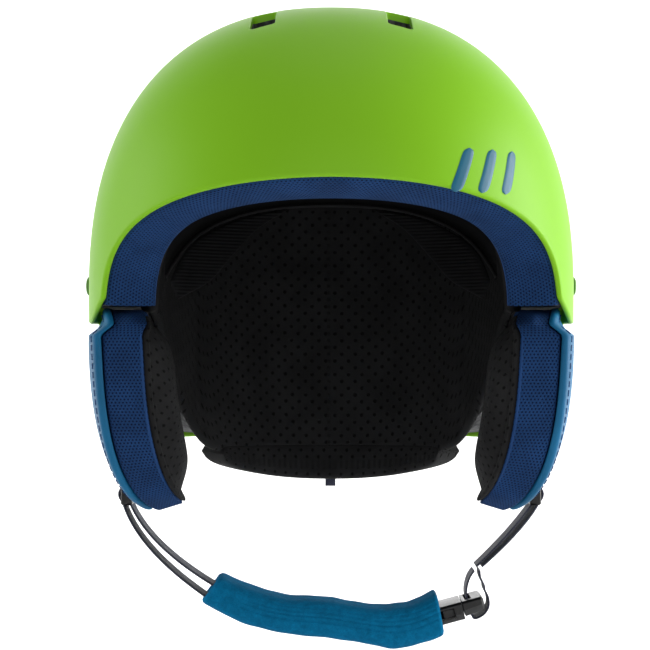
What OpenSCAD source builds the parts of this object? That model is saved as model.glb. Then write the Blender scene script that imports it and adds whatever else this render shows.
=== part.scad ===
// Junior ski helmet: hard shell, foam liner, padded ear flaps and a buckled chin strap.
// The front of the helmet faces -Y, up is +Z, and "right" is +X, as seen by someone facing the helmet.

/* [Shell] */
// Half of the shell's width at its widest level
shell_half_width = 106; // [102:1:110]
// Reach of the shell towards the brow
shell_front = 120; // [116:1:124]
// Reach of the shell towards the back of the head
shell_rear = 130; // [126:1:134]
// Height of the crown above the widest level
shell_height = 125; // [121:1:129]
// Wall thickness of the shell
shell_wall = 2.5; // [2:0.1:2.6]
// Height of the brow edge above the side rim
brow_z = 57; // [54:1:60]
// How far the nape of the shell hangs below the side rim
nape_drop = 56; // [50:1:58]
/* [Vents] */
// Width of each vent slot
vent_w = 10.5; // [8:0.5:12]
// Length of each crown slot
crown_vent_len = 40; // [30:1:44]
// Distance of the crown slots from the centre plane
crown_vent_x = 28.5; // [24:1:32]
/* [Padding] */
// Thickness of the impact foam
foam_t = 19; // [16:0.5:19]
// Thickness of the comfort lining
lining_t = 4.6; // [3:0.1:5]
// Thickness of the brow trim along the edge
trim_t = 5; // [4:0.5:6]
/* [Ear flaps] */
// Distance of the flap's outer face from the centre plane
flap_out_x = 105.3; // [104:0.1:106]
// Half of the flap's length, front to back
flap_half_len = 40; // [36:1:40]
// Lowest point of the flap below the side rim
flap_drop = 82; // [80:1:86]
// Thickness of the soft outer cover
cover_t = 3.5; // [3:0.1:4]
// Thickness of the boxed foam pad
pad_t = 16.5; // [14:0.5:16.5]
// Greatest thickness of the inner cushion
cushion_t = 12; // [8:0.5:13]
/* [Chin strap] */
// Width of the webbing
web_w = 15; // [12:1:16]
// Thickness of the webbing
web_t = 1.4; // [1:0.1:1.5]
// Length of the chin pad's section, front to back
chin_pad_w = 32; // [28:1:34]
// Thickness of the chin pad
chin_pad_t = 17; // [16.5:0.1:18]
// Radius of the curve that the chin pad follows
chin_r = 150; // [150:1:152]
/* [Buckle] */
// Width of the buckle
buckle_w = 24; // [23:0.5:25]
// Thickness of the buckle
buckle_t = 8; // [7.5:0.1:8]
// Upward tilt of the buckle, in degrees
buckle_tilt = 15; // [14:1:16]
/* [Goggle clip] */
// Width of the clip that holds a goggle strap at the back
clip_w = 16; // [14:1:18]
// Length of the clip from its hinge pin to its stud
clip_len = 50; // [46:1:52]

/* [Hidden] */
$fn = 48;

// Form of the shell
widest_z = 13;
lower_height = 190;
plan_power = 2.16;
side_power = 2.37;
brow_angle = 60;
brow_power = 2 / 2.4;
brow_steps = 15;
rear_steps = 18;
rows = 12;
gap = 0.4;

// Positions of the vents: centres along Y over the crown, and azimuths from the back
crown_vent_y = [-40.9, 38.5];
rear_vent_u = [13.1, 36.9];
channel_grow = -0.6;
vent_fn = 14;
strap_pocket = [30, 56, 66];

// Depths below the shell's outer surface
foam_out = shell_wall + gap + 0.1;
foam_in = foam_out + foam_t;
lining_out = foam_in + gap;
lining_in = lining_out + lining_t;
trim_in = lining_in - 2;

// Levels of the padding's lower edge
pad_rim_z = 8;
corner_z = 10;
lining_drop = 60;
shell_turn = 98;
lining_turn = 102;
foam_drop = 52;
nape_bottom_z = -76;
nape_lift = 10;
brow_slant = 8;
trim_steps = 40;

// Ear flap
flap_top_z = 8;
flap_y = -19;
flap_low_x = 70;
flap_curve_y = -7;
flap_plan = 6.5;
flap_tuck = 6;
flap_corner = 6;
flap_pivot = [103, 4];
cover_gap = 0.7;

// Chin strap
pivot_y = 38;
pivot_z = 20;
tab_x = 95;
exit = [92, 24, -76];
chin_centre = [16, -5, 18];
chin_start = -117.4;
chin_sweep = 39.3;
tab_t = 1.6;
rivet_r = 2.5;
fit = 0.05;
strap_low_y = -5;

// Buckle
buckle_at = [57, -5, -124.4];
blade_len = 12;

// Goggle clip
clip_pin_z = 22;
clip_y = shell_rear + 0.2;
pin_y = clip_y + 4.2;
pin_r = 1.2;
stud_z = clip_pin_z - clip_len;

lime = [0.49, 0.76, 0.10];
navy = [0.07, 0.14, 0.33];
teal = [0.05, 0.42, 0.62];
black = [0.07, 0.07, 0.08];
foam_grey = [0.25, 0.25, 0.27];
steel = [0.7, 0.72, 0.74];

// A power that keeps the sign of its base
function signed_pow(v, p) = v < 0 ? -pow(-v, p) : pow(v, p);
// A smooth step from 0 to 1
function smooth(x) = let (c = min(1, max(0, x))) c * c * (3 - 2 * c);
// Half height of the shell's form above or below its widest level
function half_height(s, d) = (s < 0 ? lower_height : shell_height) - d;
// Plan reach at an azimuth, where 0 is the brow and d is a depth below the outer surface
function reach(u, d) =
    let (b = (cos(u) > 0 ? shell_front : shell_rear) - d)
    pow(pow(abs(sin(u)) / (shell_half_width - d), plan_power) + pow(abs(cos(u)) / b, plan_power),
        -1 / plan_power);
// Elevation angle of a level
function level_angle(z, d) =
    let (s = z - widest_z)
    asin(signed_pow(s / half_height(s, d), side_power / 2));
// A point on the form at an azimuth and an elevation angle
function form_point(u, t, d) =
    let (r = reach(u, d) * pow(cos(t), 2 / side_power),
         z = widest_z + half_height(t, d) * signed_pow(sin(t), 2 / side_power))
    [r * sin(u), -r * cos(u), z];
// A point on the form at an azimuth and a level
function point_at(u, z, d) = form_point(u, level_angle(z, d), d);
// Azimuth and level of the brow edge, grown outwards by e
function brow_u(f, e) = (brow_angle + 0.6 * e) * sin(f);
function brow_level(f, e, d) =
    (brow_z + e) * pow(abs(cos(f)), brow_power) - brow_slant * d / lining_in * pow(cos(f), 2);
// Lower edge behind the brow, from the side level down to the nape, which it starts to reach at turn
function rear_level(u, side, drop, turn) = side - (side + drop) * smooth((u - turn) / 42);
// Lift of the shell's rim in its rounded front corner
function corner_lift(u, lift) = lift * pow(max(0, 1 - (u - brow_angle) / 18), 2);
// Half of a rim, from the brow round to the nape: azimuth, level outside, level inside
function half_rim(e, side, drop, turn, lift, d_out, d_in) = concat(
    [for (i = [0:brow_steps - 1])
        let (f = i * 90 / brow_steps)
        [brow_u(f, e), max(side + lift, brow_level(f, e, d_out)), max(side + lift, brow_level(f, e, d_in))]],
    [for (i = [0:rear_steps])
        let (u0 = brow_u(90, e), u = u0 + (180 - u0) * i / rear_steps,
            z = rear_level(u, side, drop, turn) + corner_lift(u, lift))
        [u, z, z]]);
// The whole rim, closed on itself
function whole_rim(half) = concat(half,
    [for (i = [len(half) - 2:-1:1]) [-half[i][0], half[i][1], half[i][2]]]);

// A domed layer between two depths, open below along its rim
module dome_layer(rim, d_out, d_in) {
    n = len(rim);
    outer = [for (c = rim, j = [0:rows - 1])
        let (t = level_angle(c[1], d_out))
        form_point(c[0], t + (90 - t) * j / rows, d_out)];
    inner = [for (c = rim, j = [0:rows - 1])
        let (t = level_angle(c[2], d_in))
        form_point(c[0], t + (90 - t) * j / rows, d_in)];
    poles = [form_point(0, 90, d_out), form_point(0, 90, d_in)];
    m = n * rows;
    faces = concat(
        [for (i = [0:n - 1], j = [0:rows - 2], k = [0:3])
            let (a = i * rows + j, b = (i + 1) % n * rows + j)
            [[a, a + 1, b + 1], [a, b + 1, b], [m + a, m + b + 1, m + a + 1], [m + a, m + b, m + b + 1]][k]],
        [for (i = [0:n - 1], k = [0:3])
            let (a = i * rows, b = (i + 1) % n * rows, top = rows - 1)
            [[a, b, m + b], [a, m + b, m + a], [a + top, 2 * m, b + top],
             [m + a + top, m + b + top, 2 * m + 1]][k]]);
    polyhedron(concat(outer, inner, poles), faces, convexity = 6);
}

// A closed slab between two grids of points, both given as lists of rows seen from outside
module slab(outer, inner) {
    n = len(outer);
    w = len(outer[0]);
    m = n * w;
    points = concat([for (r = outer, p = r) p], [for (r = inner, p = r) p]);
    skin = [for (i = [0:n - 2], j = [0:w - 2], k = [0:3])
        let (a = i * w + j, b = a + w)
        [[a, a + 1, b + 1], [a, b + 1, b], [m + a, m + b + 1, m + a + 1], [m + a, m + b, m + b + 1]][k]];
    edge = concat([for (j = [0:w - 2]) j], [for (i = [0:n - 2]) i * w + w - 1],
        [for (j = [w - 1:-1:1]) (n - 1) * w + j], [for (i = [n - 1:-1:1]) i * w]);
    walls = [for (i = [0:len(edge) - 1], k = [0:1])
        let (a = edge[i], b = edge[(i + 1) % len(edge)])
        [[b, a, m + a], [b, m + a, m + b]][k]];
    polyhedron(points, concat(skin, walls), convexity = 4);
}

// A closed tube of quadrilateral rings
module ring_sweep(rings) {
    n = len(rings);
    w = len(rings[0]);
    points = [for (r = rings, p = r) p];
    sides = [for (i = [0:n - 2], j = [0:w - 1], k = [0:1])
        let (a = i * w + j, b = i * w + (j + 1) % w)
        [[a, b, b + w], [a, b + w, a + w]][k]];
    ends = [[for (j = [w - 1:-1:0]) j], [for (j = [0:w - 1]) (n - 1) * w + j]];
    polyhedron(points, concat(sides, ends), convexity = 4);
}

// A rounded rectangle made of true arcs
module round_rect(w, h, r) {
    square([w - 2 * r, h], center = true);
    square([w, h - 2 * r], center = true);
    for (x = [-1, 1], y = [-1, 1])
        translate([x * (w / 2 - r), y * (h / 2 - r)])
            circle(r);
}

// Cutters for every vent, widened or narrowed by grow
module vent_cutters(grow) {
    r = vent_w / 2 + grow;
    half = crown_vent_len / 2 - vent_w / 2;
    for (side = [-1, 1], y = crown_vent_y)
        hull()
            for (end = [-1, 1])
                translate([side * crown_vent_x, y + end * half, 85])
                    cylinder(h = 70, r = r, $fn = vent_fn);
    for (u = [-rear_vent_u[1], -rear_vent_u[0], rear_vent_u[0], rear_vent_u[1]])
        rotate([0, 0, u])
            hull()
                for (end = [-1, 1])
                    translate([0, 60, 62 + end * 8])
                        rotate([-90, 0, 0])
                            cylinder(h = 80, r = r - 1, $fn = vent_fn);
}

module rivet_holes(r) {
    for (p = [[flap_curve_y - 1, 17], [pivot_y, pivot_z]])
        translate([-130, p[0], p[1]])
            rotate([0, 90, 0])
                cylinder(h = 260, r = r, $fn = 20);
}

module outer_shell() {
    color(lime)
        difference() {
            dome_layer(whole_rim(half_rim(0, 0, nape_drop, shell_turn, corner_z, 0, 0)), 0, shell_wall);
            vent_cutters(0);
            rivet_holes(2.7);
        }
}

module foam_liner() {
    color(foam_grey)
        difference() {
            dome_layer(whole_rim(half_rim(trim_t + gap, pad_rim_z, foam_drop, shell_turn, 0,
                foam_out, foam_in)), foam_out, foam_in);
            vent_cutters(channel_grow);
            for (side = [-1, 1]) {
                translate([side * (90 + strap_pocket[0] / 2), 20 + strap_pocket[1] / 2, 2])
                    cube(strap_pocket, center = true);
                translate([side * 110, flap_curve_y - 1, 17])
                    rotate([0, 90, 0])
                        cylinder(h = 30, r = 6, center = true, $fn = 24);
            }
        }
}

module comfort_lining() {
    color(black)
        dome_layer(whole_rim(half_rim(trim_t + gap, pad_rim_z, lining_drop, lining_turn, 0,
            lining_out, lining_in)), lining_out, lining_in);
}

module brow_trim() {
    end = 84.5;
    rings = [for (i = [0:trim_steps])
        let (f = -end + 2 * end * i / trim_steps)
        [for (c = [[0, foam_out], [0, trim_in], [trim_t, trim_in], [trim_t, foam_out]])
            point_at(brow_u(f, c[0]), max(pad_rim_z, brow_level(f, c[0], c[1])), c[1])]];
    color(navy)
        ring_sweep(rings);
}

// A leaf of ribbed padding on the lining, climbing from the side towards the back
module rib_leaf() {
    steps = 12;
    across = 6;
    function leaf(i, j, d) =
        let (s = i / steps, w = 22 * pow(sin(10 + 160 * s), 0.7), u = 166 - 46 * s)
        point_at(u, 60 - 42 * s + w * (j / across - 0.5), d);
    color(black)
        slab([for (i = [0:steps]) [for (j = [across:-1:0]) leaf(i, j, lining_in + 2 * gap)]],
            [for (i = [0:steps]) [for (j = [across:-1:0]) leaf(i, j, lining_in + 2.4)]]);
}

module rib_panel_left() {
    mirror([1, 0, 0])
        rib_leaf();
}

module rib_panel_right() {
    rib_leaf();
}

module nape_pad() {
    function nape(i, j, d) =
        let (top = -lining_drop - 0.6, low = nape_bottom_z + nape_lift * pow(i / 7 - 1, 2))
        point_at(146 + 68 * i / 14, low + (top - low) * j / 3, d);
    color(black)
        slab([for (i = [0:14]) [for (j = [0:3]) nape(i, j, 9)]],
            [for (i = [0:14]) [for (j = [0:3]) nape(i, j, lining_in)]]);
}

module nape_tag() {
    color(navy)
        translate([0, 104, nape_bottom_z - 2])
            cube([5, 1, 3.4], center = true);
}

// Three slanted bars of a plain mark on the right of the shell
module shell_emblem() {
    steps = 4;
    function bar(k, i, j, d) =
        let (z = 52 + 18 * j / steps)
        point_at(23 + 6.4 * k + 3 * i + 5 * j / steps, z, d);
    color(teal)
        for (k = [0:2])
            slab([for (i = [0:1]) [for (j = [0:steps]) bar(k, i, j, -0.5)]],
                [for (i = [0:1]) [for (j = [0:steps]) bar(k, i, j, -0.05)]]);
}

// A round-headed rivet along +X: head outside, shank, and a flat clinch inside
module rivet(head_x, shank_len, shank_r, clinch_t) {
    translate([head_x, 0, 0])
        rotate([0, 90, 0])
            rotate_extrude()
                polygon([[0, -shank_len - clinch_t], [4.4, -shank_len - clinch_t], [4.4, -shank_len],
                    [shank_r, -shank_len], [shank_r, 0], [4, 0], [4, 0.5], [3, 1.1], [1.5, 1.4], [0, 1.5]]);
}

module flap_rivets() {
    color(black)
        for (side = [0, 1])
            mirror([side, 0, 0])
                translate([0, flap_curve_y - 1, 17])
                    rivet(shell_half_width + 0.1, 4, 2.2, 1.2);
}

module strap_rivets() {
    color(black)
        for (side = [0, 1])
            mirror([side, 0, 0])
                translate([0, pivot_y, pivot_z])
                    rivet(103.2, 103.2 - tab_x + tab_t / 2 + 0.3, rivet_r, 1.2);
}

// Half length of the flap at a level, and the position of its outer face
function flap_drop_part(z) = min(1, max(0, (flap_top_z - z) / (flap_top_z + flap_drop)));
function flap_half(z) = flap_half_len * pow(1 - pow(flap_drop_part(z), 2.6) * 0.985, 1 / 2.2);
function flap_x(y, z, d, tucked) = flap_low_x
    + (flap_out_x - flap_low_x) * pow(1 - pow(flap_drop_part(z), 2.8) * 0.97, 0.5)
    - flap_plan * pow((y - flap_curve_y) / 50, 2) - tucked * flap_tuck * smooth((z + 5) / 6) - d;

// One layer of the flap: top and bottom levels, edge inset, depths outside and inside, a crown on the
// inside, and how much of the tuck under the shell the outside and inside take
module flap_layer(top_z, low_z, inset, d_out, d_in, crown, tuck_out, tuck_in) {
    down = 16;
    across = 10;
    function flap_point(i, j, d, swell, tucked) =
        let (z = top_z + (low_z - top_z) * (1 - cos(180 * i / down)) / 2,
             corner = max(0, 1 - (top_z - z) / flap_corner),
             v = 2 * j / across - 1,
             y = flap_y + v * (flap_half(z) - inset - flap_corner * (1 - sqrt(1 - corner * corner))),
             bulge = swell * (1 - pow(abs(v), 3)) * pow(sin(10 + 160 * i / down), 0.5))
        [flap_x(y, z, d, tucked) - bulge, y, z];
    slab([for (i = [0:down]) [for (j = [0:across]) flap_point(i, j, d_out, 0, tuck_out)]],
        [for (i = [0:down]) [for (j = [0:across]) flap_point(i, j, d_in, crown, tuck_in)]]);
}

module ear_cover() {
    color(teal)
        flap_layer(flap_top_z - 1.8, -flap_drop, 0, 0, cover_t, 0, 1, 1);
}

module ear_pad() {
    color(navy)
        flap_layer(5, 5 - flap_drop, 1, cover_t + cover_gap, cover_t + cover_gap + pad_t, 0, 1, 0.3);
}

module ear_cushion() {
    depth = cover_t + cover_gap + pad_t + 0.6;
    color(black)
        flap_layer(2, 9 - flap_drop, 2.5, depth, depth + 1.5, cushion_t - 1.5, 0.3, 0.3);
}

module ear_cover_left() {
    mirror([1, 0, 0])
        ear_cover();
}

module ear_cover_right() {
    ear_cover();
}

module ear_pad_left() {
    mirror([1, 0, 0])
        ear_pad();
}

module ear_pad_right() {
    ear_pad();
}

module ear_cushion_left() {
    mirror([1, 0, 0])
        ear_cushion();
}

module ear_cushion_right() {
    ear_cushion();
}

// Steel tab that turns on the strap rivet and carries the webbing
module strap_tab() {
    color(steel)
        translate([tab_x - tab_t / 2, pivot_y, pivot_z])
            rotate([90, 0, 90])
                linear_extrude(tab_t)
                    difference() {
                        union() {
                            circle(7);
                            translate([-7.5, -16])
                                square([15, 13]);
                            translate([-7, -4])
                                square([14, 4]);
                        }
                        circle(rivet_r + fit);
                        translate([-6, -13])
                            square([12, 2.5]);
                    }
}

module strap_tab_left() {
    mirror([1, 0, 0])
        strap_tab();
}

module strap_tab_right() {
    strap_tab();
}

// A flat ribbon of webbing through points, with its width along Y
module ribbon(points) {
    n = len(points);
    function heading(i) =
        let (a = points[max(0, i - 1)], b = points[min(n - 1, i + 1)], v = [b[0] - a[0], b[2] - a[2]])
        v / norm(v);
    rings = [for (i = [0:n - 1])
        let (v = heading(i), p = points[i], q = [-v[1], 0, v[0]] * web_t / 2, w = [0, web_w / 2, 0])
        [p - q - w, p + q - w, p + q + w, p - q + w]];
    ring_sweep(rings);
}

// Points along a curve with three control points
function bend(a, b, c, steps) = [for (i = [0:steps])
    let (s = i / steps)
    a * (1 - s) * (1 - s) + b * 2 * s * (1 - s) + c * s * s];

module strap_upper() {
    color(navy)
        ribbon(bend([tab_x + tab_t / 2 + web_t / 2 + 0.55, pivot_y - 1.6, pivot_z - 9],
            [95.3, 33, -20], [exit[0], exit[1], exit[2] + 5.6], 8));
}

module strap_upper_left() {
    mirror([1, 0, 0])
        strap_upper();
}

module strap_upper_right() {
    strap_upper();
}

// Ladder slider below the flap, where the webbing splits in two
module strap_adjuster() {
    color(black)
        translate([exit[0], exit[1], exit[2]])
            rotate([90, 0, 90])
                translate([0, 0, -2.6])
                    linear_extrude(5.2)
                        difference() {
                            round_rect(web_w + 5, 10.6, 2);
                            for (z = [-2.4, 2.4])
                                translate([0, z])
                                    square([web_w + 0.8, 2.2], center = true);
                        }
}

module strap_adjuster_left() {
    mirror([1, 0, 0])
        strap_adjuster();
}

module strap_adjuster_right() {
    strap_adjuster();
}

module strap_outer_left() {
    color(navy)
        ribbon(bend([-exit[0] - 1.4, exit[1] - 1, exit[2] - 5.6], [-86, 12, -100],
            [-55, strap_low_y, -118.6], 14));
}

module strap_inner_left() {
    color(navy)
        ribbon(bend([-exit[0] + 1.4, exit[1] - 1, exit[2] - 5.6], [-81, 12, -99],
            [-53, strap_low_y, -113.6], 14));
}

module strap_outer_right() {
    color(navy)
        ribbon(concat(
            bend([exit[0] + 1.4, exit[1] - 1, exit[2] - 5.6], [86, 12, -91], [66, -2, -106], 9),
            bend([65.4, -2.6, -107.2], [64.4, strap_low_y, -111], [67.2, strap_low_y, -116.6], 5)));
}

module strap_inner_right() {
    color(navy)
        ribbon(concat(
            bend([exit[0] - 1.4, exit[1] - 1, exit[2] - 5.6], [82, 12, -91], [63, -2, -106], 9),
            bend([62, -2.6, -107.2], [58.2, strap_low_y, -111.4], [59.2, strap_low_y, -118.2], 5)));
}

// Places something on the circle that the chin pad follows, with its section turned about that circle
module chin_arc(start, sweep) {
    translate(chin_centre)
        rotate([90, 0, 0])
            rotate_extrude(angle = sweep, start = start, $fn = 180)
                children();
}

module chin_webbing() {
    web_r = chin_r - 3;
    color(navy)
        chin_arc(chin_start + 0.5, 31.2)
            translate([web_r, 0])
                square([web_t, web_w], center = true);
}

module on_buckle() {
    translate(buckle_at)
        rotate([0, -buckle_tilt, 0])
            children();
}

module chin_pad() {
    color(teal)
        difference() {
            chin_arc(chin_start, chin_sweep)
                translate([chin_r, 0])
                    difference() {
                        round_rect(chin_pad_t, chin_pad_w, 6);
                        round_rect(9.4, web_w + 4, 2);
                    }
            on_buckle() {
                translate([-19.5, 0, 0.1])
                    cube([23, buckle_w + 1.2, buckle_t + 1], center = true);
                translate([-32.7, 0, -1.4])
                    cube([9.6, web_w + 6.4, 4.2], center = true);
            }
        }
}

// Female half of the buckle: its mouth faces the tongue, and a flat tail holds the webbing
module buckle_socket() {
    color(black)
        on_buckle()
            difference() {
                union() {
                    translate([-15.5, -buckle_w / 2, -buckle_t / 2])
                        cube([16, buckle_w, buckle_t]);
                    translate([-22, -buckle_w / 2 + 2, -3.2])
                        cube([7, buckle_w - 4, 3.6]);
                }
                translate([-13, -9.6, -2.3])
                    cube([20, 19.2, 4.6]);
                for (side = [-1, 1])
                    translate([-6.5, side * 11, 0])
                        cube([6.6, 6, 4.6], center = true);
                translate([-18.6, 0, 0])
                    cube([2.4, web_w + 1, 20], center = true);
            }
}

// Male half of the buckle: a frame for the webbing, a collar and a flat guide blade
module buckle_tongue() {
    color(black)
        on_buckle() {
            difference() {
                translate([0.9, -buckle_w / 2, -buckle_t / 2])
                    cube([9.3, buckle_w, buckle_t]);
                translate([2.4, -web_w / 2 - 0.6, -10])
                    cube([2.8, web_w + 1.2, 20]);
                translate([7.4, 0, -3.5])
                    cube([2.6, web_w + 1.2, 4.4], center = true);
            }
            translate([-blade_len + 0.4, -3, -1.6])
                cube([blade_len + 1, 6, 3.2]);
        }
}

// One springy arm of the tongue, with a shoulder that fills the socket's side window
module buckle_prong(side) {
    color(black)
        on_buckle()
            translate([0, 0, -1.8])
                linear_extrude(3.6)
                    polygon([for (p = [[0.6, 4.6], [0.6, 8], [-3.4, 9.1], [-8.4, 9.1], [-9.6, 7.6],
                        [-9.6, 5.8], [-3, 5.4]]) [p[0], side * p[1]]]);
}

module buckle_prong_front() {
    buckle_prong(-1);
}

module buckle_prong_rear() {
    buckle_prong(1);
}

module goggle_clip_base() {
    color(black)
        translate([0, clip_y, clip_pin_z])
            difference() {
                union() {
                    translate([-13, 0, -6])
                        cube([26, 1.4, 12]);
                    for (side = [-1, 1])
                        translate([side * 11.2 - 1.8, 1, -3.2])
                            cube([3.6, 6.4, 6.4]);
                }
                translate([-20, pin_y - clip_y, 0])
                    rotate([0, 90, 0])
                        cylinder(h = 40, r = pin_r + 0.02);
            }
}

module goggle_clip_pin() {
    color(steel)
        translate([-12.6, pin_y, clip_pin_z])
            rotate([0, 90, 0])
                cylinder(h = 25.2, r = pin_r);
}

// The clip hangs from its pin, follows the shell and ends in a cap over the stud
module goggle_clip() {
    color(navy)
        difference() {
            union() {
                translate([-clip_w / 2, pin_y, clip_pin_z])
                    rotate([0, 90, 0])
                        cylinder(h = clip_w, r = 2.6);
                translate([-clip_w / 2, pin_y - 0.4, stud_z])
                    cube([clip_w, 2, clip_len]);
                translate([0, pin_y - 2, stud_z])
                    rotate([-90, 0, 0])
                        cylinder(h = 5.4, r = 8);
            }
            translate([-20, pin_y, clip_pin_z])
                rotate([0, 90, 0])
                    cylinder(h = 40, r = pin_r + fit);
            translate([0, pin_y - 3, stud_z])
                rotate([-90, 0, 0])
                    cylinder(h = 5, r = 4.2);
        }
}

module goggle_clip_stud() {
    color(steel)
        translate([0, clip_y - 1.2, stud_z])
            rotate([-90, 0, 0])
                rotate_extrude()
                    polygon([[0, 0], [6, 0], [6, 1.2], [3, 1.6], [3, 3.2], [3.6, 4], [3.4, 4.8], [0, 5.2]]);
}

outer_shell();
foam_liner();
comfort_lining();
brow_trim();
rib_panel_left();
rib_panel_right();
nape_pad();
nape_tag();
shell_emblem();
flap_rivets();
strap_rivets();
ear_cover_left();
ear_cover_right();
ear_pad_left();
ear_pad_right();
ear_cushion_left();
ear_cushion_right();
strap_tab_left();
strap_tab_right();
strap_upper_left();
strap_upper_right();
strap_adjuster_left();
strap_adjuster_right();
strap_outer_left();
strap_inner_left();
strap_outer_right();
strap_inner_right();
chin_webbing();
chin_pad();
buckle_socket();
buckle_tongue();
buckle_prong_front();
buckle_prong_rear();
goggle_clip_base();
goggle_clip_pin();
goggle_clip();
goggle_clip_stud();
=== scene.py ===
import math

import bmesh
import bpy
import numpy as np
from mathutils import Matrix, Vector


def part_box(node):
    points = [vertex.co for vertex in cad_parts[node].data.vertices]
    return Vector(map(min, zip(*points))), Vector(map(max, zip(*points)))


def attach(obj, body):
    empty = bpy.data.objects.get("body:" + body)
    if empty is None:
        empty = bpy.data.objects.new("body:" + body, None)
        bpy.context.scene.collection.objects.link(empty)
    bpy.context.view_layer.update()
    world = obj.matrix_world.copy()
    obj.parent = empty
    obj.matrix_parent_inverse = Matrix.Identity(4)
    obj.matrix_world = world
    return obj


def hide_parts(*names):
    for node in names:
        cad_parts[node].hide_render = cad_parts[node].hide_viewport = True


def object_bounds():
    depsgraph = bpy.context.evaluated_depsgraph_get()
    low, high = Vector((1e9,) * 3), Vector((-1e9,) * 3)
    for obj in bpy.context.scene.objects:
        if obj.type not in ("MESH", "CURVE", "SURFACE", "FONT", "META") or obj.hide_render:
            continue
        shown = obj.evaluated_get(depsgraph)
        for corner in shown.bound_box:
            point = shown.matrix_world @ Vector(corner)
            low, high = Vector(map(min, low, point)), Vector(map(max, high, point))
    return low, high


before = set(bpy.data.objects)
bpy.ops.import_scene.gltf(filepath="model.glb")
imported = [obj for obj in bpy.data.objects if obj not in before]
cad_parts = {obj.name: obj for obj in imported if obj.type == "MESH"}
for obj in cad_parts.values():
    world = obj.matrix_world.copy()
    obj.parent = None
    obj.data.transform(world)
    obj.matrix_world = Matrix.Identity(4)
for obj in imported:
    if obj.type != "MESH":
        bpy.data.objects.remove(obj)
cad_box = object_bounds()
MM = 0.001

# The form of the helmet, in millimetres: the same driving dimensions as the CAD model has.
HALF_WIDTH, FRONT, REAR, HEIGHT, LOWER = 106.0, 120.0, 130.0, 125.0, 190.0
WIDEST_Z = 13.0
PLAN_POWER, SIDE_POWER, BROW_POWER = 2.16, 2.37, 2 / 2.4
SHELL_WALL = 2.5
FOAM_OUT = SHELL_WALL + 0.5
LINING_OUT, LINING_IN = FOAM_OUT + 19.4, FOAM_OUT + 24.0
TRIM_IN, TRIM_T = LINING_IN - 2, 5.0
BROW_Z, BROW_ANGLE, BROW_SLANT = 57.0, 60.0, 8.0
PAD_RIM_Z, CORNER_Z = 8.0, 10.0
NAPE_DROP, LINING_DROP = 55.0, 58.0
SHELL_TURN, LINING_TURN = 98.0, 102.0
FLAP_TOP, FLAP_LOW, FLAP_HALF, FLAP_Y = 7.2, -82.0, 40.0, -19.0
COVER_T, COVER_GAP, PAD_T = 3.5, 0.7, 16.5
VENT_W, VENT_LEN, VENT_X, VENT_Y = 10.5, 40.0, 28.5, (-40.9, 38.5)
REAR_VENT_U, REAR_VENT_Z, REAR_VENT_LEN = (13.1, 36.9), 62.0, 16.0


# ---------------------------------------------------------------- form of the shell

def signed_pow(v, p):
    return np.sign(v) * np.abs(v) ** p


def smooth(x):
    c = np.clip(x, 0, 1)
    return c * c * (3 - 2 * c)


def reach(u, d=0.0):
    """Plan reach at azimuth u in degrees (0 is the brow, 90 is +X), at depth d below the outer surface."""
    s, c = np.abs(np.sin(np.radians(u))), np.cos(np.radians(u))
    b = np.where(c > 0, FRONT, REAR) - d
    return ((s / (HALF_WIDTH - d)) ** PLAN_POWER + (np.abs(c) / b) ** PLAN_POWER) ** (-1 / PLAN_POWER)


def level_angle(z, d=0.0):
    s = np.asarray(z, float) - WIDEST_Z
    return np.degrees(np.arcsin(signed_pow(s / (np.where(s < 0, LOWER, HEIGHT) - d), SIDE_POWER / 2)))


def form_point(u, t, d=0.0):
    u, t, d = np.broadcast_arrays(np.asarray(u, float), np.asarray(t, float), np.asarray(d, float))
    st, ct = np.sin(np.radians(t)), np.clip(np.cos(np.radians(t)), 0, 1)
    r = reach(u, d) * ct ** (2 / SIDE_POWER)
    z = WIDEST_Z + (np.where(t < 0, LOWER, HEIGHT) - d) * signed_pow(st, 2 / SIDE_POWER)
    return np.stack([r * np.sin(np.radians(u)), -r * np.cos(np.radians(u)), z], axis=-1)


def point_at(u, z, d=0.0):
    return form_point(u, level_angle(z, d), d)


def brow_u(f, grow=0.0):
    return (BROW_ANGLE + 0.6 * grow) * np.sin(np.radians(f))


def brow_level(f, grow=0.0, d=0.0):
    c = np.abs(np.cos(np.radians(f)))
    return (BROW_Z + grow) * c ** BROW_POWER - BROW_SLANT * d / LINING_IN * c ** 2


def rim_curve(grow, side, drop, turn, lift, d, front_steps=72, rear_steps=110):
    """Azimuth and level of a closed lower edge, from the brow round over +X, as two arrays."""
    f = np.arange(front_steps) * 90 / front_steps
    u_front, z_front = brow_u(f, grow), np.maximum(side + lift, brow_level(f, grow, d))
    u0 = brow_u(90, grow)
    u_rear = u0 + (180 - u0) * np.arange(rear_steps + 1) / rear_steps
    z_rear = side - (side + drop) * smooth((u_rear - turn) / 42)
    z_rear = z_rear + lift * np.clip(1 - (u_rear - BROW_ANGLE) / 18, 0, None) ** 2
    u, z = np.concatenate([u_front, u_rear]), np.concatenate([z_front, z_rear])
    u, z = np.concatenate([u, -u[-2:0:-1]]), np.concatenate([z, z[-2:0:-1]])
    return soften(u, z)


def soften(u, z, passes=10):
    """Rounds the corners of a closed rim curve that is the same on the left and the right."""
    half = len(u) // 2
    u, z = u[:half + 1].copy(), z[:half + 1].copy()
    for _ in range(passes):
        for line in (u, z):
            line[1:-1] = 0.25 * line[:-2] + 0.5 * line[1:-1] + 0.25 * line[2:]
    return np.concatenate([u, -u[-2:0:-1]]), np.concatenate([z, z[-2:0:-1]])


# ---------------------------------------------------------------- mesh helpers

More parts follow.
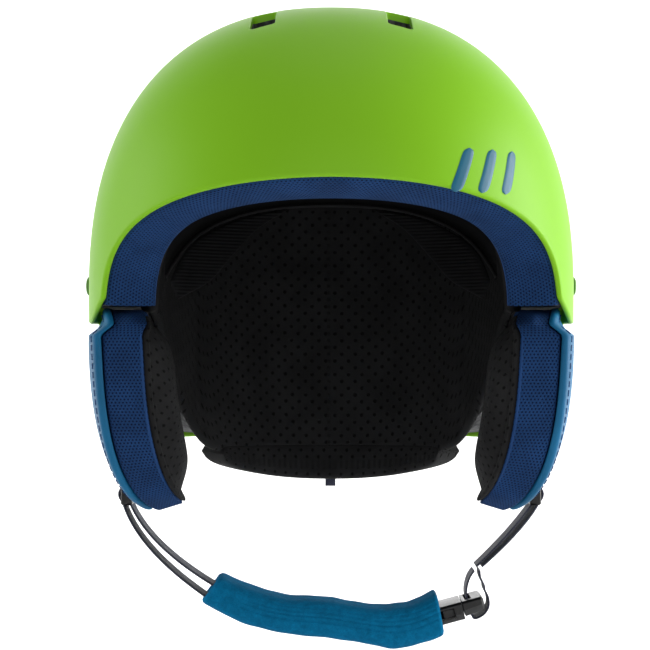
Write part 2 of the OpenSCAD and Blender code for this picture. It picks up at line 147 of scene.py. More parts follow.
def finish_mesh(name, verts, faces, uvs=None, sharp=None):
    """A mesh object in metres from points in millimetres, with one (u, v) in millimetres for each vertex."""
    mesh = bpy.data.meshes.new(name)
    mesh.from_pydata((np.asarray(verts, float) * MM).tolist(), [], faces)
    if uvs is not None:
        layer = mesh.uv_layers.new(name="cloth")
        loops = np.empty(len(mesh.loops), dtype=np.int64)
        mesh.loops.foreach_get("vertex_index", loops)
        layer.data.foreach_set("uv", (np.asarray(uvs, float) * MM)[loops].ravel())
    mesh.validate()
    obj = bpy.data.objects.new(name, mesh)
    bpy.context.collection.objects.link(obj)
    shade(obj, sharp)
    return obj


def shade(obj, sharp=None):
    """Smooth shading, with edges sharper than the given angle in degrees kept crisp."""
    mesh = obj.data
    mesh.polygons.foreach_set("use_smooth", [True] * len(mesh.polygons))
    if sharp:
        bm = bmesh.new()
        bm.from_mesh(mesh)
        limit = math.radians(sharp)
        for e in bm.edges:
            e.smooth = not (len(e.link_faces) == 2 and e.calc_face_angle(0) > limit)
        bm.to_mesh(mesh)
        bm.free()


def grid_faces(rows, cols, close_rows=False, close_cols=False, flip=False):
    i = np.arange(rows if close_rows else rows - 1)
    j = np.arange(cols if close_cols else cols - 1)
    ii, jj = np.meshgrid(i, j, indexing="ij")
    a = ii * cols + jj
    b = (ii + 1) % rows * cols + jj
    c = (ii + 1) % rows * cols + (jj + 1) % cols
    d = ii * cols + (jj + 1) % cols
    quads = np.stack([a, b, c, d] if flip else [a, d, c, b], axis=-1).reshape(-1, 4)
    return quads.tolist()


def lengths(points):
    """Distance along a run of points, starting at zero."""
    steps = np.linalg.norm(np.diff(points, axis=0), axis=1)
    return np.concatenate([[0], np.cumsum(steps)])


def grid_piece(name, points, close_rows=False, close_cols=False, caps=False, flip=False, sharp=None, uv=True):
    """An object from a (rows, cols, 3) grid; caps closes both ends of a closed-column tube."""
    rows, cols = points.shape[:2]
    verts = points.reshape(-1, 3)
    faces = grid_faces(rows, cols, close_rows, close_cols, flip=flip)
    uvs = None
    if uv:
        along = lengths(points[:, cols // 2])
        across = lengths(points[rows // 2])
        uvs = np.stack(np.meshgrid(along, across, indexing="ij"), axis=-1).reshape(-1, 2)
    if caps:
        first, last = list(range(cols)), list(range((rows - 1) * cols, rows * cols))
        faces += [first if flip else first[::-1], last[::-1] if flip else last]
    return finish_mesh(name, verts, faces, uvs, sharp)


def join(name, parts):
    """One object from several, with its mesh in place."""
    bpy.ops.object.select_all(action="DESELECT")
    for p in parts:
        p.select_set(True)
    bpy.context.view_layer.objects.active = parts[0]
    bpy.ops.object.join()
    obj = bpy.context.view_layer.objects.active
    obj.name = name
    obj.data.name = name
    return obj


def apply_modifiers(obj):
    """Turns an object's evaluated mesh into its own mesh."""
    graph = bpy.context.evaluated_depsgraph_get()
    mesh = bpy.data.meshes.new_from_object(obj.evaluated_get(graph))
    obj.modifiers.clear()
    obj.data = mesh
    return obj


def spline(points, count, tension=0.5):
    """A smooth run of count points through given ones (Catmull-Rom, one even step per span)."""
    p = np.asarray(points, float)
    p = np.vstack([2 * p[0] - p[1], p, 2 * p[-1] - p[-2]])
    out = []
    spans = len(p) - 3
    for s in np.linspace(0, spans, count):
        k = min(int(s), spans - 1)
        t = s - k
        a, b, c, d = p[k:k + 4]
        m0, m1 = tension * (c - a), tension * (d - b)
        out.append((2 * t ** 3 - 3 * t ** 2 + 1) * b + (t ** 3 - 2 * t ** 2 + t) * m0
                   + (-2 * t ** 3 + 3 * t ** 2) * c + (t ** 3 - t ** 2) * m1)
    return np.array(out)


def place(obj, body, slot_name, material, *nodes):
    """Gives a piece its material and body, and says which CAD nodes it stands for; slot_name is not used."""
    obj.data.materials.clear()
    obj.data.materials.append(material)
    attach(obj, body)
    if nodes:
        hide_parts(*nodes)
    return obj


# ---------------------------------------------------------------- materials

class Paint:
    """A short way to build a node material."""

    def __init__(self, name, colour, roughness=0.5, **sockets):
        self.material = bpy.data.materials.new(name)
        self.material.use_nodes = True
        self.tree = self.material.node_tree
        self.shader = self.tree.nodes["Principled BSDF"]
        self.shader.inputs["Base Color"].default_value = (*colour, 1)
        self.shader.inputs["Roughness"].default_value = roughness
        for key, value in sockets.items():
            self.shader.inputs[key.replace("_", " ")].default_value = value
        self.normal = None

    def add(self, kind, inputs=(), **settings):
        node = self.tree.nodes.new(kind)
        for key, value in settings.items():
            setattr(node, key, value)
        for key, value in dict(inputs).items():
            if isinstance(value, bpy.types.NodeSocket):
                self.tree.links.new(value, node.inputs[key])
            else:
                node.inputs[key].default_value = value
        return node

    def math(self, operation, a, b=0.0, c=0.0):
        return self.add("ShaderNodeMath", {0: a, 1: b, 2: c}, operation=operation).outputs[0]

    def coordinates(self, kind="Object"):
        return self.add("ShaderNodeTexCoord").outputs[kind]

    def noise(self, scale, detail=3.0, roughness=0.5):
        inputs = {"Scale": scale, "Detail": detail, "Roughness": roughness,
                  "Vector": self.coordinates()}
        return self.add("ShaderNodeTexNoise", inputs).outputs["Fac"]

    def ramp(self, value, low, high, to_low=0.0, to_high=1.0):
        inputs = {"Value": value, "From Min": low, "From Max": high, "To Min": to_low, "To Max": to_high}
        return self.add("ShaderNodeMapRange", inputs, interpolation_type="SMOOTHSTEP").outputs["Result"]

    def mix(self, factor, a, b):
        node = self.add("ShaderNodeMix", {0: factor}, data_type="RGBA")
        for socket, value in ((node.inputs[6], a), (node.inputs[7], b)):
            if isinstance(value, bpy.types.NodeSocket):
                self.tree.links.new(value, socket)
            else:
                socket.default_value = (*value, 1)
        return node.outputs[2]

    def set(self, name, value):
        self.tree.links.new(value, self.shader.inputs[name])

    def bump(self, height, distance, strength=1.0):
        inputs = {"Height": height, "Distance": distance, "Strength": strength}
        if self.normal is not None:
            inputs["Normal"] = self.normal
        self.normal = self.add("ShaderNodeBump", inputs).outputs["Normal"]
        self.set("Normal", self.normal)

    def split(self, vector):
        return self.add("ShaderNodeSeparateXYZ", {0: vector}).outputs

    def dots(self, vector, pitch, radius, edge=0.25, row_ratio=0.866):
        """1 inside each of a staggered grid of round dots, whose pitch and radius are in metres."""
        axes = self.split(vector)
        row_pitch = pitch * row_ratio
        row = self.math("FLOOR", self.math("DIVIDE", axes[1], row_pitch))
        shift = self.math("MULTIPLY", self.math("MODULO", row, 2.0), 0.5)
        fx = self.math("SUBTRACT", self.math("FRACT", self.math("ADD", self.math(
            "DIVIDE", axes[0], pitch), self.math("ABSOLUTE", shift))), 0.5)
        fy = self.math("SUBTRACT", self.math("FRACT", self.math("DIVIDE", axes[1], row_pitch)), 0.5)
        dx = self.math("MULTIPLY", fx, pitch)
        dy = self.math("MULTIPLY", fy, row_pitch)
        squares = [self.math("MULTIPLY", d, d) for d in (dx, dy)]
        far = self.math("SQRT", self.math("ADD", *squares))
        return self.ramp(far, radius * (1 - edge), radius * (1 + edge), 1.0, 0.0)

    def weave(self, vector, pitch_u, pitch_v):
        """Height of a plain weave, from 0 to 1."""
        axes = self.split(vector)
        a = self.math("SINE", self.math("MULTIPLY", axes[0], 2 * math.pi / pitch_u))
        b = self.math("SINE", self.math("MULTIPLY", axes[1], 2 * math.pi / pitch_v))
        return self.math("MULTIPLY_ADD", self.math("MULTIPLY", a, b), 0.5, 0.5)


def shell_paint():
    p = Paint("shell_green", (0.25, 0.6, 0.012), 0.42, Specular_IOR_Level=0.22)
    drift = p.noise(9, 2)
    fine = p.noise(900, 2)
    scuff = p.ramp(p.noise(260, 6, 0.7), 0.68, 0.78)
    p.set("Base Color", p.mix(drift, (0.235, 0.565, 0.010), (0.27, 0.64, 0.014)))
    base = p.math("MULTIPLY_ADD", p.noise(35, 3), 0.08, 0.4)
    p.set("Roughness", p.math("ADD", base, p.math("MULTIPLY", scuff, 0.12)))
    p.bump(fine, 0.00003, 0.5)
    return p.material


def mesh_fabric(name, colour, dark, pitch, radius, row_ratio=0.866, rough=0.85, sheen=0.01,
                tint=(0.1, 0.2, 0.6)):
    """Knitted cloth with rows of punched holes."""
    p = Paint(name, colour, rough, Sheen_Weight=sheen, Sheen_Roughness=0.5, Specular_IOR_Level=0.12)
    p.shader.inputs["Sheen Tint"].default_value = (*tint, 1)
    where = p.coordinates("UV")
    holes = p.dots(where, pitch, radius, 0.35, row_ratio)
    patchy = p.noise(60, 4)
    light = tuple(min(1, c * 1.45) for c in colour)
    cloth = p.mix(p.ramp(patchy, 0.3, 0.7), colour, light)
    thread = p.weave(where, 0.0005, 0.0005)
    cloth = p.mix(p.math("MULTIPLY", thread, 0.35), cloth, tuple(c * 0.5 for c in colour))
    # The punched holes are painted near-black: painted shade inside each hole.
    p.set("Base Color", p.mix(holes, cloth, dark))
    p.bump(p.noise(350, 4), 0.0003, 0.35)
    p.bump(thread, 0.00008, 0.5)
    p.bump(p.math("SUBTRACT", 1.0, holes), 0.0005, 0.9)
    return p.material


def smooth_fabric(name, colour, rough=0.55, sheen=0.2, grain=1400):
    p = Paint(name, colour, rough, Sheen_Weight=sheen, Sheen_Roughness=0.4, Specular_IOR_Level=0.2)
    p.shader.inputs["Sheen Tint"].default_value = (*[min(1, c * 2.2) for c in colour], 1)
    cloudy = p.noise(40, 4)
    p.set("Base Color", p.mix(p.ramp(cloudy, 0.3, 0.75), tuple(c * 0.85 for c in colour),
                              tuple(min(1, c * 1.15) for c in colour)))
    p.set("Roughness", p.math("MULTIPLY_ADD", p.noise(120, 3), 0.15, rough - 0.08))
    p.bump(p.noise(grain, 3), 0.00012, 0.4)
    p.bump(p.noise(70, 2), 0.0004, 0.25)
    return p.material


def fleece(name, colour):
    p = Paint(name, colour, 0.95, Sheen_Weight=0.06, Sheen_Roughness=0.6, Specular_IOR_Level=0.08)
    p.shader.inputs["Sheen Tint"].default_value = (0.01, 0.4, 0.8, 1)
    fibres = p.noise(1500, 5, 0.7)
    tufts = p.noise(320, 4, 0.6)
    p.set("Base Color", p.mix(p.math("MULTIPLY", fibres, tufts), tuple(c * 0.45 for c in colour),
                              tuple(min(1, c * 2.0) for c in colour)))
    p.bump(tufts, 0.0007, 0.6)
    p.bump(fibres, 0.0003, 0.7)
    return p.material


def webbing_paint(name, colour):
    p = Paint(name, colour, 0.6, Sheen_Weight=0.15)
    where = p.coordinates("UV")
    rib = p.weave(where, 0.0014, 0.0011)
    p.set("Base Color", p.mix(rib, tuple(c * 0.45 for c in colour), tuple(min(1, c * 1.7) for c in colour)))
    p.bump(rib, 0.00025, 0.9)
    p.bump(p.noise(1200, 3), 0.0001, 0.4)
    return p.material


def hard_plastic(name, colour, rough=0.42):
    p = Paint(name, colour, rough)
    p.set("Roughness", p.math("MULTIPLY_ADD", p.noise(300, 5, 0.7), 0.25, rough - 0.12))
    worn = p.ramp(p.noise(150, 6, 0.75), 0.62, 0.8)
    p.set("Base Color", p.mix(worn, colour, tuple(min(1, c * 2.0 + 0.01) for c in colour)))
    p.bump(p.noise(2200, 2), 0.00003, 0.6)
    return p.material


def bead_foam():
    p = Paint("bead_foam", (0.05, 0.05, 0.055), 0.75)
    cells = p.add("ShaderNodeTexVoronoi", {"Scale": 330.0, "Vector": p.coordinates()}).outputs["Distance"]
    p.set("Base Color", p.mix(p.ramp(cells, 0.2, 0.7), (0.07, 0.07, 0.075), (0.02, 0.02, 0.022)))
    p.bump(p.math("SUBTRACT", 1.0, cells), 0.0004, 0.8)
    return p.material


def brushed_steel():
    p = Paint("zinc_steel", (0.62, 0.63, 0.64), 0.32, Metallic=1.0)
    p.set("Roughness", p.math("MULTIPLY_ADD", p.noise(500, 4), 0.25, 0.22))
    p.bump(p.noise(900, 3), 0.00003, 0.5)
    return p.material


SHELL = shell_paint()
NAVY_MESH = mesh_fabric("navy_mesh", (0.012, 0.046, 0.145), (0.002, 0.008, 0.035), 0.00155, 0.00034)
LINING = mesh_fabric("perforated_lining", (0.014, 0.014, 0.0145), (0.002, 0.002, 0.002), 0.0067, 0.0008, 0.5,
                     sheen=0.01, tint=(1, 1, 1))
# Plain cloth without holes for the crown and front; its tone, a little darker than the dotted lining, is
# painted shade.
PLAIN_LINING_PAINTED_SHADE = smooth_fabric("plain_lining_painted_shade", (0.011, 0.011, 0.0115), 0.9, 0.01)
RIBBED = smooth_fabric("ribbed_pad", (0.0095, 0.0095, 0.0105), 0.85, 0.01)
CUSHION = mesh_fabric("ear_cushion_knit", (0.017, 0.017, 0.0175), (0.004, 0.004, 0.004), 0.0062, 0.0007, 0.5,
                      sheen=0.01, tint=(1, 1, 1))
# Crown seam bead, coloured lighter than the lining: painted highlight along the raised seam.
SEAM_PIPING_PAINTED_HIGHLIGHT = smooth_fabric("seam_piping_painted_highlight", (0.022, 0.022, 0.023), 0.7, 0.05)
TEAL_COVER = smooth_fabric("teal_cover", (0.008, 0.14, 0.3), 0.5, 0.04)
PIPING = smooth_fabric("navy_piping", (0.01, 0.055, 0.19), 0.6, 0.03)
FLEECE = fleece("teal_fleece", (0.003, 0.185, 0.39))
WEBBING = webbing_paint("navy_webbing", (0.016, 0.02, 0.05))
BLACK = hard_plastic("black_acetal", (0.006, 0.006, 0.0065), 0.3)
# Rivet heads: shell-green plastic, coloured darker than the shell as painted shade on the heads.
RIVET_GREEN_PAINTED_SHADE = hard_plastic("rivet_green_painted_shade", (0.08, 0.24, 0.008), 0.4)
FOAM = bead_foam()
STEEL = brushed_steel()
PRINT = hard_plastic("teal_print", (0.002, 0.13, 0.22), 0.4)


# ---------------------------------------------------------------- shell

def dome(name, rim_u, rim_z, d_out, d_in, rows, lip=8, uv=False, shape=None):
    """A domed layer with a rounded lower edge. rim_z may differ inside and outside."""
    z_out, z_in = rim_z if isinstance(rim_z, tuple) else (rim_z, rim_z)
    n = len(rim_u)
    w = np.linspace(0, 1, rows + 1)[:-1]
    w = 0.6 * w + 0.4 * w ** 2
    t_out, t_in = level_angle(z_out, d_out), level_angle(z_in, d_in)
    outer = np.stack([form_point(rim_u, t_out + (90 - t_out) * s, d_out) for s in w[::-1]])
    inner = np.stack([form_point(rim_u, t_in + (90 - t_in) * s, d_in) for s in w])
    centre, arm = (outer[-1] + inner[0]) / 2, (outer[-1] - inner[0]) / 2
    tangent = np.roll(outer[-1], -1, axis=0) - np.roll(outer[-1], 1, axis=0)
    away = np.cross(arm, tangent)
    away *= (np.linalg.norm(arm, axis=1) / np.linalg.norm(away, axis=1))[:, None]
    down = np.sign(np.sum(away * (outer[-1] - outer[-2]), axis=1))[:, None]
    away = away * np.where(down == 0, 1, down)
    angles = np.linspace(0, math.pi, lip + 2)[1:-1]
    ring = [centre + arm * math.cos(a) + away * math.sin(a) for a in angles]
    if shape is not None:
        inner = shape(inner)
    rings = np.concatenate([outer, np.stack(ring), inner])
    verts = np.vstack([rings.reshape(-1, 3), form_point(0, 90, d_out)[None], form_point(0, 90, d_in)[None]])
    total = len(rings)
    faces = grid_faces(total, n, close_cols=True, flip=True)
    top, bottom = total * n, total * n + 1
    faces += [[top, i, (i + 1) % n] for i in range(n)]
    faces += [[bottom, (total - 1) * n + (i + 1) % n, (total - 1) * n + i] for i in range(n)]
    uvs = None
    if uv:
        steps = np.linalg.norm(np.diff(rings, axis=0), axis=2)
        along = np.concatenate([np.zeros((1, n)), np.cumsum(steps, axis=0)])
        around = np.radians(rim_u) * 0.98 * (REAR - d_in)
        uvs = np.stack([np.broadcast_to(around, along.shape), along], axis=-1).reshape(-1, 2)
        uvs = np.vstack([uvs, [0, 0], [0, along[-1].max()]])
    return finish_mesh(name, verts, faces, uvs)


def slot_outline(width, length, count=64, corner=2.4):
    """Outline of a slot with rounded corners: a list of (along, across) points, anticlockwise."""
    points = []
    for k, (sx, sy) in enumerate(((1, -1), (1, 1), (-1, 1), (-1, -1))):
        centre = np.array([sx * (length / 2 - corner), sy * (width / 2 - corner)])
        for a in np.linspace(-90 + 90 * k, 90 * k, count // 4 - 3):
            points.append(centre + corner * np.array([math.cos(math.radians(a)), math.sin(math.radians(a))]))
        if k % 2 == 1:
            near, far = points[-1], np.array([-sx * (length / 2 - corner), sy * width / 2])
            points.extend([near + (far - near) * s for s in (0.25, 0.5, 0.75)])
    return np.array(points)


def crown_z(x, y):
    u = np.degrees(np.arctan2(x, -y))
    part = np.clip(np.hypot(x, y) / reach(u), 0, 1)
    return WIDEST_Z + HEIGHT * (1 - part ** SIDE_POWER) ** (1 / SIDE_POWER)


def rear_hit(direction, side, x, z):
    """Where a line at (x, z) in a rear vent's own plane meets the outer surface."""
    low, high = 60.0, 140.0
    for _ in range(40):
        mid = (low + high) / 2
        p = direction * mid + side * x
        inside = np.hypot(*p[:2]) < reach(np.degrees(np.arctan2(p[0], -p[1]))) * math.cos(
            math.radians(float(level_angle(z)))) ** (2 / SIDE_POWER)
        low, high = (mid, high) if inside else (low, mid)
    return low


def vent_frames():
    """Each vent as a function from an outline point and a depth to a place in space."""
    frames = []
    for sx in (-1, 1):
        for y in VENT_Y:
            def crown(p, depth, sx=sx, y=y):
                x0, y0 = sx * VENT_X + p[1], y + p[0]
                return np.array([x0, y0, float(crown_z(x0, y0)) - depth])
            frames.append((crown, VENT_W, VENT_LEN))
    for s in (-1, 1):
        for angle in REAR_VENT_U:
            a = math.radians(90 + s * angle)
            direction = np.array([math.cos(a), math.sin(a), 0])
            side = np.array([direction[1], -direction[0], 0])
            def rear(p, depth, direction=direction, side=side):
                z = REAR_VENT_Z + p[0]
                reach_out = rear_hit(direction, side, p[1], z) - depth
                q = direction * reach_out + side * p[1]
                return np.array([q[0], q[1], z])
            frames.append((rear, VENT_W - 2, REAR_VENT_LEN + VENT_W - 2))
    return frames


def cut_vents(shell):
    cutters = []
    for k, (where, width, length) in enumerate(vent_frames()):
        outline = slot_outline(width + 0.5, length + 0.5, 40)
        top = np.array([where(p, -6) for p in outline])
        low = np.array([where(p, 9) for p in outline])
        cutters.append(grid_piece(f"cutter_{k}", np.stack([top, low]), close_cols=True, caps=True, uv=False))
    cutter = join("vent_cutters", cutters)
    bm = bmesh.new()
    bm.from_mesh(cutter.data)
    bmesh.ops.recalc_face_normals(bm, faces=bm.faces)
    bm.to_mesh(cutter.data)
    bm.free()
    cut = shell.modifiers.new("vents", "BOOLEAN")
    cut.object = cutter
    cut.solver = "EXACT"
    apply_modifiers(shell)
    bpy.data.objects.remove(cutter)
    shade(shell, 32)
    return shell


def vent_lips():
    """The rounded, turned-in edge of each vent, down into the foam."""
    parts = []
    for k, (where, width, length) in enumerate(vent_frames()):
        profile = [(1.1, -0.02), (0.6, -0.03), (0.25, 0.02), (0.03, 0.22), (-0.1, 0.6), (-0.15, 1.4),
                   (-0.2, 5), (-0.3, 10)]
        rings = []
        for grow, depth in profile:
            outline = slot_outline(width + 2 * grow, length + 2 * grow, 56)
            rings.append([where(p, depth) for p in outline])
        parts.append(grid_piece(f"lip_{k}", np.array(rings), close_cols=True, uv=False, flip=True))
    return join("vent_lips", parts)


def make_shell():
    u, z = rim_curve(0, 0, NAPE_DROP, SHELL_TURN, CORNER_Z, 0)
    shell = dome("shell", u, z + SHELL_WALL / 2 + 0.4, 0, SHELL_WALL, 90)
    cut_vents(shell)
    place(shell, "helmet", "shell_green", SHELL, "outer_shell")
    lips = vent_lips()
    place(lips, "helmet", "shell_green", SHELL)


def make_emblem():
    """Three slanted bars: a plain mark with rounded ends."""
    bars = []
    for k in range(3):
        rows, cols = 24, 7
        grid = np.zeros((rows, cols, 3))
        for i in range(rows):
            s = i / (rows - 1)
            end = math.sqrt(max(0.0, 1 - abs(2 * s - 1) ** 8))
            for j in range(cols):
                v = (j / (cols - 1) - 0.5) * 2.9 * max(0.12, end)
                height = 0.1 + 0.22 * (1 - abs(j / (cols - 1) * 2 - 1) ** 6)
                grid[i, j] = point_at(24.5 + 6.4 * k + v + 5 * s, 52 + 18 * s, -height)
        bars.append(grid_piece(f"bar_{k}", grid, uv=False, flip=True))
    place(join("emblem_bars", bars), "helmet", "emblem_print", PRINT, "shell_emblem")


# ---------------------------------------------------------------- padding inside the shell

def make_trim():
    """Soft band round the front edge: a rolled section carried along the brow."""
    steps, end = 260, 84.5
    f = np.linspace(-end, end, steps)
    def edge(grow, d):
        return point_at(brow_u(f, grow), np.maximum(PAD_RIM_Z, brow_level(f, grow, d)), d)
    under_shell = SHELL_WALL + 0.25
    out_a, in_a = edge(0, under_shell), edge(0, TRIM_IN)
    out_b, in_b = edge(TRIM_T, under_shell), edge(TRIM_T, TRIM_IN)
    forward = (out_a + in_a) / 2 - (out_b + in_b) / 2
    forward /= np.linalg.norm(forward, axis=1)[:, None]
    outline = spline([(0.0, -6.0), (0.0, -3.0), (0.004, -1.3), (0.05, -0.35), (0.16, 0.25), (0.35, 0.75),
                      (0.55, 0.9), (0.75, 0.7), (0.9, 0.0), (0.975, -1.3), (1.0, -3.2), (1.0, -5.4),
                      (0.93, -7.2)], 60)
    grid = np.array([out_a + (in_a - out_a) * a + forward * b for a, b in outline])
    grid = grid.transpose(1, 0, 2)
    trim = grid_piece("brow_band", grid, close_cols=True, caps=True, flip=True, sharp=60)
    place(trim, "helmet", "navy_mesh", NAVY_MESH, "brow_trim")
    path = out_a + (in_a - out_a) * 0.985 - forward * 1.7
    place(tube("brow_piping_0", path, 0.42, 8), "helmet", "navy_mesh", PIPING)


def tube(name, path, radius, sides=8, closed=False):
    """A round bead along a run of points."""
    path = np.asarray(path, float)
    tangent = np.gradient(path, axis=0) if not closed else np.roll(path, -1, 0) - np.roll(path, 1, 0)
    tangent /= np.linalg.norm(tangent, axis=1)[:, None]
    normal = np.zeros_like(path)
    start = np.cross(tangent[0], [0, 0, 1.0])
    if np.linalg.norm(start) < 0.1:
        start = np.cross(tangent[0], [1.0, 0, 0])
    normal[0] = start / np.linalg.norm(start)
    for i in range(1, len(path)):
        v = normal[i - 1] - tangent[i] * np.dot(normal[i - 1], tangent[i])
        normal[i] = v / np.linalg.norm(v)
    binormal = np.cross(tangent, normal)
    angles = np.linspace(0, 2 * math.pi, sides, endpoint=False)
    grid = np.stack([path + radius * (math.cos(a) * normal + math.sin(a) * binormal) for a in angles], axis=1)
    return grid_piece(name, grid, close_cols=True, close_rows=closed, caps=not closed)


def arc_level(u):
    """Level of the seam between the rear panel of the lining and the plain crown."""
    side = np.abs((np.asarray(u, float) + 180) % 360 - 180)
    return 58.5 - 33 * ((180 - side) / 63) ** 2.2


def lining_shape(points):
    """The inner face of the lining: sewn channels, a soft unevenness and a step up to the crown."""
    u = np.degrees(np.arctan2(points[..., 0], -points[..., 1]))
    z = points[..., 2]
    side = np.abs(u)
    groove = sum(np.exp(-((side - line) / 0.9) ** 2) for line in (104.0, 136.0)) * (z < arc_level(u))
    soft = 0.3 * np.sin(u * 0.19) * np.sin(z * 0.11)
    step = 1.6 * smooth((z - arc_level(u)) / 2.0) * (side > 112)
    out = points - np.array([0, 0, WIDEST_Z])
    out = out / np.linalg.norm(out, axis=-1, keepdims=True)
    return points + out * (0.9 * groove + soft + step)[..., None]


def on_lining(u, z, lift=0.0):
    return point_at(u, z, LINING_IN + lift)


def make_lining():
    rows = 150
    u, z_in = rim_curve(TRIM_T + 0.4, PAD_RIM_Z, LINING_DROP, LINING_TURN, 0, LINING_IN, 60, 120)
    z_out = rim_curve(TRIM_T + 0.4, PAD_RIM_Z, LINING_DROP, LINING_TURN, 0, LINING_OUT, 60, 120)[1]
    lining = dome("lining", u, (z_out, z_in), LINING_OUT, LINING_IN, rows, lip=10, uv=True,
                  shape=lining_shape)
    place(lining, "helmet", "lining", LINING, "comfort_lining")
    lining.data.materials.append(PLAIN_LINING_PAINTED_SHADE)
    # Crown and front faces take the plain lining, whose darker tone is painted shade.
    for face in lining.data.polygons:
        spot = face.center / MM
        azimuth = math.degrees(math.atan2(spot[0], -spot[1]))
        face.material_index = int(spot[2] > arc_level(azimuth) or abs(azimuth) < 96)
    azimuth = np.linspace(114, 246, 160)
    fade = smooth((np.minimum(azimuth - 114, 246 - azimuth)) / 8)
    # The seam bead is coloured lighter than the lining as a painted highlight on its raised edge.
    seam = tube("crown_seam", on_lining(azimuth, arc_level(azimuth), -0.5 + 0.9 * fade), 0.85, 10)
    place(seam, "helmet", "lining", SEAM_PIPING_PAINTED_HIGHLIGHT)


def leaf_grid(side, rows, cols):
    """Points of the leaf-shaped pad below the seam, with fine level ribs."""
    high = spline([(168, 56.5), (155, 52.8), (141, 45), (128, 34.5), (118, 20)], rows)
    low = spline([(166, 55), (158, 46), (150, 32.5), (141, 20), (124, 11.5)], rows)
    grid = np.zeros((rows, cols, 3))
    for i in range(rows):
        s = i / (rows - 1)
        for j in range(cols):
            v = j / (cols - 1)
            u, z = low[i] + (high[i] - low[i]) * v
            edge = (1 - abs(2 * v - 1) ** 6) * (1 - abs(2 * s - 1) ** 14)
            rib = 0.22 * math.cos(2 * math.pi * z / 1.6)
            grid[i, j] = on_lining(side * u, z, -0.6 + (2.3 + rib) * max(0, edge) ** 0.5)
    return grid


def make_leaves():
    for name, side in (("left", -1), ("right", 1)):
        leaf = grid_piece(f"leaf_pad_{name}", leaf_grid(side, 150, 110), flip=side > 0)
        place(leaf, "helmet", "lining", RIBBED, f"rib_panel_{name}")


def make_nape():
    """Rounded pad hung under the lining, lower in the middle."""
    steps = 90
    u = np.linspace(144.5, 215.5, steps)
    part = (u - 180) / 35.5
    low = -75.5 + 9.5 * np.abs(part) ** 2.2
    top = -LINING_DROP + 1.5 + np.zeros_like(u)
    fade = np.sqrt(np.clip(1 - np.abs(part) ** 30, 0.02, 1))
    section = []
    for a in np.linspace(0, 2 * math.pi, 40, endpoint=False):
        c, s = signed_pow(math.cos(a), 0.45), signed_pow(math.sin(a), 0.45)
        depth = (9.5 + LINING_IN) / 2 + c * (LINING_IN - 8.5) / 2
        z = (top + low) / 2 + s * (top - low) / 2 * fade
        section.append(point_at(u, z, depth))
    grid = np.stack(section, axis=1)
    pad = grid_piece("nape_cushion", grid, close_cols=True, caps=True, sharp=70)
    place(pad, "helmet", "lining", LINING, "nape_pad")
    low_corner, high_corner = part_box("nape_tag")
    tag_points = np.zeros((8, 5, 3))
    x0, x1 = low_corner[0] / MM, high_corner[0] / MM
    for i in range(8):
        for j in range(5):
            drop = j / 4
            curl = 0.4 + 0.5 * drop ** 2 + 0.12 * math.sin(i)
            tag_points[i, j] = (x0 + (x1 - x0) * i / 7, low_corner[1] / MM + curl,
                                high_corner[2] / MM + 1 - 4.2 * drop)
    tag = grid_piece("size_tab", tag_points)
    thick = tag.modifiers.new("cloth", "SOLIDIFY")
    thick.thickness = 0.0004
    apply_modifiers(tag)
    place(tag, "helmet", "navy_mesh", WEBBING, "nape_tag")


# ---------------------------------------------------------------- ear flaps

def drop_part(z):
    return np.clip((8 - z) / (8 - FLAP_LOW), 0, 1)


def flap_half(z):
    return FLAP_HALF * (1 - drop_part(z) ** 2.6 * 0.985) ** (1 / 2.2)


def flap_x(y, z, d, tucked=1.0):
    profile = 70 + 35.3 * np.sqrt(1 - drop_part(z) ** 2.8 * 0.97)
    return profile - 6.5 * ((y + 7) / 50) ** 2 - tucked * 6 * smooth((z + 5) / 6) - d


def flap_outline(top, low, inset, count=160, corner=9.0):
    """Closed outline of the flap in its own (y, z) plane: nearly straight on top, round below."""
    a = np.linspace(0, 2 * math.pi, count, endpoint=False)
    mid = (top + low) / 2
    z = mid + (top - low) / 2 * signed_pow(np.sin(a), 0.62)
    half = flap_half(z) - inset
    near = np.clip((z - (top - corner)) / corner, 0, 1)
    half = half - corner * (1 - np.sqrt(1 - near ** 2)) * 0.9
    under = np.clip(((low + corner) - z) / corner, 0, 1)
    half = half * np.sqrt(1 - 0.9 * under ** 3)
    side = np.abs(signed_pow(np.cos(a), 0.3))
    return np.stack([FLAP_Y + np.sign(np.cos(a)) * half * side, z], axis=1)


def lean(z, y=-7.0):
    """Unit direction out of the flap's face in its own cross section, as (x, z) for the right-hand side."""
    slope = (flap_x(y, z + 0.5, 0, 0) - flap_x(y, z - 0.5, 0, 0))
    size = np.hypot(1, slope)
    return 1 / size, -slope / size


